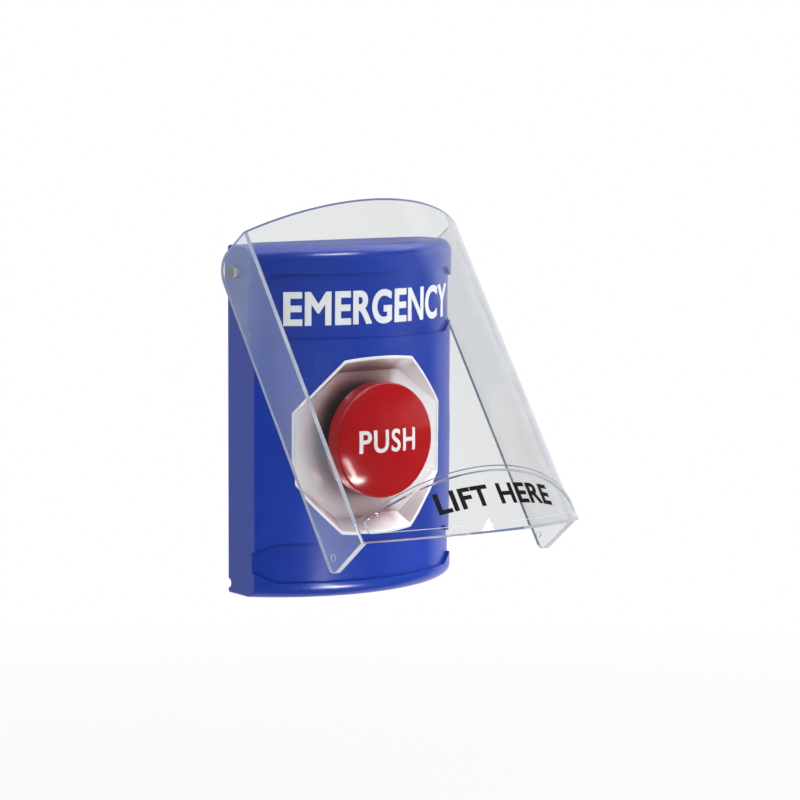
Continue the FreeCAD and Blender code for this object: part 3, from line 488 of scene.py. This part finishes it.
def printed(name, words, box, weight, spacing, to_surface, material, body):
    """Lettering cut to a box of its own plane, given the thickness of its ink and bent onto a surface.
    The weight is how far its outlines grow outwards."""
    shape = bmesh.new()
    shape.from_mesh(flat_letters(name, words, spacing))
    for axis, (start, stop) in enumerate(box):
        least = min(vertex.co[axis] for vertex in shape.verts)
        most = max(vertex.co[axis] for vertex in shape.verts)
        stretch = (stop - start - 2 * weight) / (most - least)
        for vertex in shape.verts:
            vertex.co[axis] = start + weight + (vertex.co[axis] - least) * stretch
    bmesh.ops.remove_doubles(shape, verts=shape.verts, dist=LETTER_MERGE)
    bmesh.ops.recalc_face_normals(shape, faces=shape.faces)
    if sum(face.normal.z for face in shape.faces) < 0:
        bmesh.ops.reverse_faces(shape, faces=shape.faces)
    embolden(shape, weight)
    for axis, (start, stop) in enumerate(box):
        for number in range(1, math.ceil((stop - start) / BEND_STEP)):
            cut, across = Vector(), Vector()
            cut[axis] = start + number * BEND_STEP
            across[axis] = 1
            bmesh.ops.bisect_plane(shape, geom=shape.verts[:] + shape.edges[:] + shape.faces[:],
                                   plane_co=cut, plane_no=across, dist=SLIVER_DISTANCE)
    thicken(shape)
    for vertex in shape.verts:
        vertex.co = to_surface(*vertex.co)
    solid = bpy.data.meshes.new(name)
    shape.to_mesh(solid)
    shape.free()
    solid.materials.append(material)
    piece = put(name, solid)
    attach(piece, body)


def on_wall(axis, radius, x, z, proud):
    """A point on the front of an upright wall that is turned about an axis, or proud of it."""
    spoke = Vector((x / radius, -math.sqrt(1 - (x / radius) ** 2), 0))
    return axis + spoke * (radius + proud) + Vector((0, 0, z))


def on_band(x, z, proud):
    return on_wall(FRONT_AXIS, FRONT_RADIUS - BAND_RECESS, x, z, proud)


white_ink = finish("white_ink", moulded, colour=(0.78, 0.79, 0.79), roughness=0.42, texture=0.00025,
                   depth=0.000004)
printed("word_emergency", "EMERGENCY", box=((-0.0343, 0.0399), (0.0343, 0.0465)), weight=0.00044,
        spacing=1.06, to_surface=on_band, material=white_ink, body="station")


# Dish: pressed from bright plated sheet, its eight sloping sides run out flush with the housing's front.
# Its colour carries painted shade and a painted red reflection of the head, and its right is painted
# lighter.
BRIGHT_SHEET = (0.92, 0.92, 0.93, 1)
BRIGHTER_SHEET = (0.96, 0.96, 0.97, 1)
PAINTED_RED_REFLECTION = (0.34, 0.155, 0.165, 1)
PAINTED_SHADE = (0.050, 0.036, 0.026, 1)
PAINTED_SHADE_LEAN = (0.95, 0, -0.42)
PAINTED_SHADE_REACH = 0.021
PAINTED_LIGHT_SIDE = (0.009, 0.019)
PAINTED_LIGHT_GAIN = 0.5
OUT_OF_PAINTED_SHADE = (0.26, 0.46)
OUT_OF_PAINTED_RED = (0.44, 0.66)


def satin_sheet_painted_shade(shade):
    cloud = grain(shade, size=0.014).held(*SOFT_NOISE)
    streak = grain(shade, size=0.00010, stretch=(0.04, 1, 1))
    # Painted shade: an occlusion term, leant right and down, darkens the colour where the head stands on
    # that side.
    facing = shade.node("NewGeometry", output="Normal")
    leant = shade.node("VectorMath", {"operation": "ADD"}, {0: facing, 1: PAINTED_SHADE_LEAN})
    open_view = shade.node("AmbientOcclusion", {"samples": 16}, {"Distance": PAINTED_SHADE_REACH, "Normal": leant},
                           "AO")
    place = shade.node("TexCoord", output="Object")
    across = shade.node("SeparateXYZ", (), {0: place}, "X")
    # Painted light: the right of the dish is painted lighter.
    painted_light_level = open_view + across.held(*PAINTED_LIGHT_SIDE) * PAINTED_LIGHT_GAIN
    # Painted red reflection of the head between bright sheet and painted dark shade nearest the head.
    painted_red_tone = mixed(painted_light_level.held(*OUT_OF_PAINTED_RED), PAINTED_RED_REFLECTION, mixed(cloud, BRIGHT_SHEET, BRIGHTER_SHEET))
    return shade.node("BsdfPrincipled", (), {
        "Base Color": mixed(painted_light_level.held(*OUT_OF_PAINTED_SHADE), PAINTED_SHADE, painted_red_tone), "Metallic": 0.25,
        "Roughness": varied(0.26, (cloud, 0.03), (streak, 0.05)),
        "Normal": relief(shade, streak, depth=0.0000004)})


smooth_copy("button_dish", finish("dish_plating_painted_shade", satin_sheet_painted_shade), "station", edge=0.0002)


# Operator: a black moulded bush with a collar, clamped through dish and well by a plated nut. A rubber
# gasket seals the collar on the dish.
def dress(node, material):
    """Give a CAD node that stays its finish."""
    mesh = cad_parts[node].data
    mesh.materials.clear()
    mesh.materials.append(material)


black = finish("black_moulding", moulded, colour=(0.028, 0.028, 0.030), roughness=0.40)
rubber = finish("seal_rubber", moulded, colour=(0.035, 0.035, 0.036), roughness=0.62, texture=0.0005,
                depth=0.00002, gloss=0.2)
smooth_copy("operator_bush", black, "station", edge=0.0003)
smooth_copy("lock_nut", zinc, "station", edge=0.0003)
dress("collar_gasket", rubber)


# Return spring: hard drawn wire, coiled, between the bush's pocket and the roof of the head. It shortens by
# the travel of the button.
spring = smooth_copy("return_spring", zinc, "station")
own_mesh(spring)


# Mushroom head: red moulding with a polished dome, pressed on a white moulded stem. Behind the bush the
# stem pushes the two white plungers of the contact blocks.
DEEP_RED = (0.365, 0.001, 0.002, 1)
WARM_RED = (0.400, 0.002, 0.003, 1)


def polished_red(shade):
    ripple = grain(shade, size=0.011).held(*SOFT_NOISE)
    haze = grain(shade, size=0.0016, detail=4)
    return shade.node("BsdfPrincipled", (), {
        "Base Color": mixed(ripple, DEEP_RED, WARM_RED), "Specular IOR Level": 0.24,
        "Roughness": varied(0.125, (ripple, 0.03), (haze, 0.05)),
        "Normal": relief(shade, haze, depth=0.000004)})


smooth_copy("button_head", finish("red_moulding", polished_red), "button", edge=0.0002)
white = finish("white_moulding", moulded, colour=(0.76, 0.76, 0.74), roughness=0.38)
for node in ("button_stem", "contact_plunger_left", "contact_plunger_right"):
    smooth_copy(node, white, "button")


# The word on the head: the same white ink, printed across the middle of the dome before the head is
# pressed on its stem. The dome is a shallow part of a large sphere.
DOME_RISE = 0.0046
head_low, head_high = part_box("button_head")
HEAD_HEIGHT = (head_low.z + head_high.z) / 2
DOME_DEPTH = -head_low.y
DOME_RADIUS = arc_radius(head_high.x, DOME_RISE)


def on_dome(x, z, proud):
    radius = DOME_RADIUS + proud
    rise = math.sqrt(radius * radius - x * x - (z - HEAD_HEIGHT) ** 2)
    return Vector((x, DOME_RADIUS - DOME_DEPTH - rise, z))


printed("word_push", "PUSH", box=((-0.0131, 0.0106), (-0.0107, -0.0025)), weight=0.00018, spacing=1.12,
        to_surface=on_dome, material=white_ink, body="button")


# Contact blocks: two grey mouldings on a black carrier ring that sits on the bush, each with two screw
# terminals in its rear face. The board's terminal block is of the same grey plastic.
grey = finish("grey_moulding", moulded, colour=(0.36, 0.37, 0.38), roughness=0.45)
for node in ("contact_block_left", "contact_block_right", "lead_terminal"):
    smooth_copy(node, grey, "station")
smooth_copy("contact_carrier", black, "station")


# Screws: plated steel with a cross recess and a rolled thread. The terminals' screws face the wall, so do
# the board's and the tray's, and the housing's two come up from below.
RECESS_SPAN = 1.15
RECESS_SLOT = 0.26
RECESS_DEPTH = 1.1
THREAD_CORE = 0.84
THREAD_RIDGE = 0.15
THREAD_LENGTH = 0.94
THREAD_END = 0.98
HEAD_SIDES = 40
CORE_SIDES = 28
THREAD_STEPS = 20
RIDGE_SIDES = 4


def screw_plan():
    """A screw on each spot: its head's face lies on the spot and looks the given way. The sizes of its
    recess and thread are shares of the head's and the shank's."""
    tree = bpy.data.node_groups.new("screw_plan", "GeometryNodeTree")
    for name, kind in (("Spots", "Geometry"), ("Facing", "Vector"), ("Head Radius", "Float"),
                       ("Head Height", "Float"), ("Shank Radius", "Float"), ("Shank Length", "Float"),
                       ("Thread Pitch", "Float"), ("Finish", "Material")):
        tree.interface.new_socket(name, in_out="INPUT", socket_type="NodeSocket" + kind)
    tree.interface.new_socket("Screws", in_out="OUTPUT", socket_type="NodeSocketGeometry")
    given = {socket.name: Shade(tree, socket) for socket in tree.nodes.new("NodeGroupInput").outputs}
    plan = Shade(tree)

    def lifted(geometry, height):
        shift = plan.node("CombineXYZ", (), {"Z": height})
        return plan.node("GeometryNodeTransform", (), {"Geometry": geometry, "Translation": shift})

    def round_bar(radius, length, sides):
        return plan.node("GeometryNodeMeshCylinder", (), {"Vertices": sides, "Radius": radius,
                                                          "Depth": length})

    def recess_arm(along, across):
        size = plan.node("CombineXYZ", (), {"X": along, "Y": across, "Z": height * RECESS_DEPTH})
        return plan.node("GeometryNodeMeshCube", (), {"Size": size})

    radius, height = given["Head Radius"], given["Head Height"]
    shank, length = given["Shank Radius"], given["Shank Length"]
    arms = [recess_arm(radius * RECESS_SPAN, radius * RECESS_SLOT),
            recess_arm(radius * RECESS_SLOT, radius * RECESS_SPAN)]
    head = plan.node("GeometryNodeMeshBoolean", {"operation": "DIFFERENCE"}, {
        "Mesh 1": lifted(round_bar(radius, height, HEAD_SIDES), -height / 2), "Mesh 2": arms})
    core = lifted(round_bar(shank * THREAD_CORE, length, CORE_SIDES), -height - length / 2)
    helix = plan.node("GeometryNodeCurveSpiral", (), {
        "Resolution": THREAD_STEPS, "Rotations": length / given["Thread Pitch"],
        "Start Radius": shank * THREAD_CORE, "End Radius": shank * THREAD_CORE,
        "Height": length * THREAD_LENGTH})
    ridge = plan.node("GeometryNodeCurvePrimitiveCircle", (), {"Resolution": RIDGE_SIDES,
                                                               "Radius": shank * THREAD_RIDGE})
    thread = plan.node("GeometryNodeCurveToMesh", (), {"Curve": helix, "Profile Curve": ridge,
                                                       "Fill Caps": True})
    screw = plan.node("GeometryNodeJoinGeometry", (), {
        "Geometry": [head, core, lifted(thread, -height - length * THREAD_END)]})
    turn = plan.node("FunctionNodeAlignRotationToVector", {"axis": "Z"}, {"Vector": given["Facing"]})
    placed = plan.node("GeometryNodeInstanceOnPoints", (), {"Points": given["Spots"], "Instance": screw,
                                                            "Rotation": turn})
    solid = plan.node("GeometryNodeRealizeInstances", (), {"Geometry": placed})
    dressed = plan.node("GeometryNodeSetMaterial", (), {"Geometry": solid, "Material": given["Finish"]})
    tree.links.new(dressed.socket, tree.nodes.new("NodeGroupOutput").inputs["Screws"])
    return tree


SCREW_PLAN = screw_plan()
SCREW_EDGE = 0.00018
SCREW_EDGE_ANGLE = math.radians(50)
SCREW_CORNER_ANGLE = math.radians(35)
MICROMETRE_DIGITS = 6


def screws(node, facing, head_radius, head_height, shank_radius, pitch):
    """The screws of a node, on spots that its box gives, with the edges of their heads rounded."""
    low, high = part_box(node)
    facing = Vector(facing)
    places = []
    for axis in range(3):
        if facing[axis]:
            places.append([(high if facing[axis] > 0 else low)[axis]])
        else:
            places.append([low[axis] + head_radius, high[axis] - head_radius])
    spots = {tuple(round(part, MICROMETRE_DIGITS) for part in spot) for spot in itertools.product(*places)}
    seat = bpy.data.meshes.new("heads_" + node)
    seat.from_pydata(sorted(spots), [], [])
    piece = put("heads_" + node, seat)
    plan = piece.modifiers.new("plan", "NODES")
    plan.node_group = SCREW_PLAN
    screw_length = abs((high - low).dot(facing))
    wanted = {"Facing": facing, "Head Radius": head_radius, "Head Height": head_height,
              "Shank Radius": shank_radius, "Shank Length": screw_length - head_height,
              "Thread Pitch": pitch, "Finish": zinc}
    for item in SCREW_PLAN.interface.items_tree:
        if item.name in wanted:
            plan[item.identifier] = wanted[item.name]
    soften(piece, SCREW_EDGE, SCREW_EDGE_ANGLE)
    piece.data = plain_mesh(piece)
    piece.modifiers.clear()
    piece.data.shade_smooth()
    piece.data.set_sharp_from_angle(angle=SCREW_CORNER_ANGLE)
    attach(piece, "station")
    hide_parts(node)


TO_WALL = (0, 1, 0)
DOWNWARDS = (0, 0, -1)
screws("terminal_screws", TO_WALL, head_radius=0.0024, head_height=0.0015, shank_radius=0.0012, pitch=0.0005)
screws("board_screws", TO_WALL, head_radius=0.0022, head_height=0.0014, shank_radius=0.0011, pitch=0.0006)
screws("tray_screws", TO_WALL, head_radius=0.0022, head_height=0.0014, shank_radius=0.0011, pitch=0.0006)
screws("housing_screws", DOWNWARDS, head_radius=0.0027, head_height=0.0014, shank_radius=0.0015,
       pitch=0.0007)


# Circuit board: green coated laminate on four posts behind the upper band. It carries the sounder, a black
# moulded can with a brass disc in it.
board = finish("board_coating", moulded, colour=(0.022, 0.150, 0.060), roughness=0.30, texture=0.0006,
               depth=0.00001, gloss=0.5)
brass = finish("sounder_brass", plated, colour=(0.72, 0.52, 0.22), roughness=0.30)
dress("circuit_board", board)
dress("sounder_case", black)
dress("sounder_disc", brass)


# Battery: a steel can in a dark wrap, in a black moulded tray behind the lower band. A black moulded
# snap is pressed on its two studs.
wrap = finish("battery_wrap", moulded, colour=(0.10, 0.11, 0.13), roughness=0.30, texture=0.0008,
              depth=0.000004, gloss=0.5)
dress("battery", wrap)
for node in ("battery_snap", "battery_tray"):
    dress(node, black)


# Cover switch: a black moulded body on two pegs of the left side wall, with a lever of plated spring
# steel that the cover's cam presses.
dress("cover_switch", black)
dress("switch_lever", zinc)


# Clear cover: one moulding in clear, polished plastic, 2.5 mm thick, open above and below. It turns on
# two dull plated pins in the housing's side walls. Inside, the left one carries a white moulded cam and the
# right one a clip.
COVER_OPEN = math.radians(35.3)
COVER_FRONT_GAP = 0.0055
COVER_RISE_GAIN = 0.0029
CLEAR_TINT = (0.85, 0.86, 0.86, 1)
CLEAR_SHADOW = (0.97, 0.975, 0.98, 1)
REFRACTION = 1.49
PAINTED_EDGE_GLOW = (0.30, 0.34, 0.44, 1)
PAINTED_EDGE_GLOW_SHARE = 0.55
PAINTED_EDGE_GLOW_SPAN = 0.3
PAINTED_EAR_LIGHT = (0.50, 0.66, 1.0, 1)
PAINTED_EAR_LIGHT_SHARE = 0.03
PAINTED_EAR_LIGHT_ABOVE = 0.10
PAINTED_EAR_LIGHT_BELOW = 0.07
EAR_FACE = (0.90, 0.97)
LEFT_SIDE = (0.0, -0.01)
UPPER_PART = (-0.03, 0.04)
LOWER_PART = (-0.020, -0.040)


def clear(shade):
    """Polished plastic, with painted pale light on its left ear. Light that has been mirrored inside a wall
    is drawn as a painted glow, the pale line of an edge, and shadows and soft light pass straight on."""
    haze = grain(shade, size=0.009, detail=4).held(0.35, 0.75)
    shadow, scattered, mirrored, faces_passed = light_paths(
        shade, "Is Shadow Ray", "Is Diffuse Ray", "Is Reflection Ray", "Transmission Depth")
    glass = shade.node("BsdfPrincipled", (), {
        "Base Color": CLEAR_TINT, "Roughness": haze * 0.02, "IOR": REFRACTION, "Transmission Weight": 1.0})
    passing = shade.node("BsdfTransparent", (), {"Color": CLEAR_SHADOW})
    # Painted glow: an emission stands in for light mirrored inside a wall and draws the pale edge lines.
    painted_edge_glow = shade.node("Emission", (), {"Color": PAINTED_EDGE_GLOW, "Strength": 1.0})
    inside = faces_passed % 2 * mirrored
    leaving = shade.node("MixShader", (), {0: inside * (haze * PAINTED_EDGE_GLOW_SPAN + PAINTED_EDGE_GLOW_SHARE),
                                           1: passing, 2: painted_edge_glow})
    place = shade.node("TexCoord", output="Object")
    across, height = [shade.node("SeparateXYZ", (), {0: place}, name) for name in "XZ"]
    sideways = shade.node("SeparateXYZ", (), {0: shade.node("TexCoord", output="Normal")}, "X")
    # Painted light: a pale blue matt share on the left ear only, more at its top and bottom.
    ear = abs(sideways).held(*EAR_FACE) * across.held(*LEFT_SIDE)
    painted_ear_light = ear * (height.held(*UPPER_PART) * PAINTED_EAR_LIGHT_ABOVE + height.held(*LOWER_PART) * PAINTED_EAR_LIGHT_BELOW
                     + haze * PAINTED_EAR_LIGHT_SHARE)
    painted_ear_light_shader = shade.node("BsdfDiffuse", (), {"Color": PAINTED_EAR_LIGHT})
    skin = shade.node("MixShader", (), {0: painted_ear_light, 1: glass, 2: painted_ear_light_shader})
    return shade.node("MixShader", (), {0: (shadow + scattered + mirrored).held(0, 1), 1: skin, 2: leaving})


pin_low, pin_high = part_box("pivot_pin_left")
PIVOT = Vector((0, (pin_low.y + pin_high.y) / 2, (pin_low.z + pin_high.z) / 2))
COVER_RISE = FRONT_RISE + COVER_RISE_GAIN
COVER_REACH = FRONT_DEPTH - FRONT_RISE + COVER_FRONT_GAP + PIVOT.y
COVER_RADIUS = arc_radius(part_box("shield")[1].x, COVER_RISE)
HANGING_AXIS = Vector((0, COVER_RADIUS - COVER_RISE - COVER_REACH, 0))
COVER_TURN = Matrix.Rotation(-COVER_OPEN, 3, "X")
clear_plastic = finish("clear_moulding", clear)
smooth_copy("shield", clear_plastic, "cover", edge=0.0005,
            arc=(PIVOT + COVER_TURN @ HANGING_AXIS, -COVER_OPEN))
dull_steel = finish("pin_steel", plated, colour=(0.36, 0.38, 0.41), roughness=0.75)
for node in ("pivot_pin_left", "pivot_pin_right", "pin_clip"):
    smooth_copy(node, dull_steel, "cover", edge=0.0002)
smooth_copy("switch_cam", white, "cover")


# The words on the cover's lip: black ink, printed on the outside of the clear front wall between its rim
# and the bead above, where a hand takes hold of it.
def on_cover(x, z, proud):
    return COVER_TURN @ on_wall(HANGING_AXIS, COVER_RADIUS, x, z, proud) + PIVOT


black_ink = finish("black_ink", moulded, colour=(0.004, 0.004, 0.005), roughness=0.60, texture=0.00025,
                   depth=0.000004, gloss=0.08)
printed("word_lift_here", "LIFT HERE", box=((-0.0229, 0.0265), (-0.1150, -0.1072)), weight=0.00030,
        spacing=1.06, to_surface=on_cover, material=black_ink, body="cover")
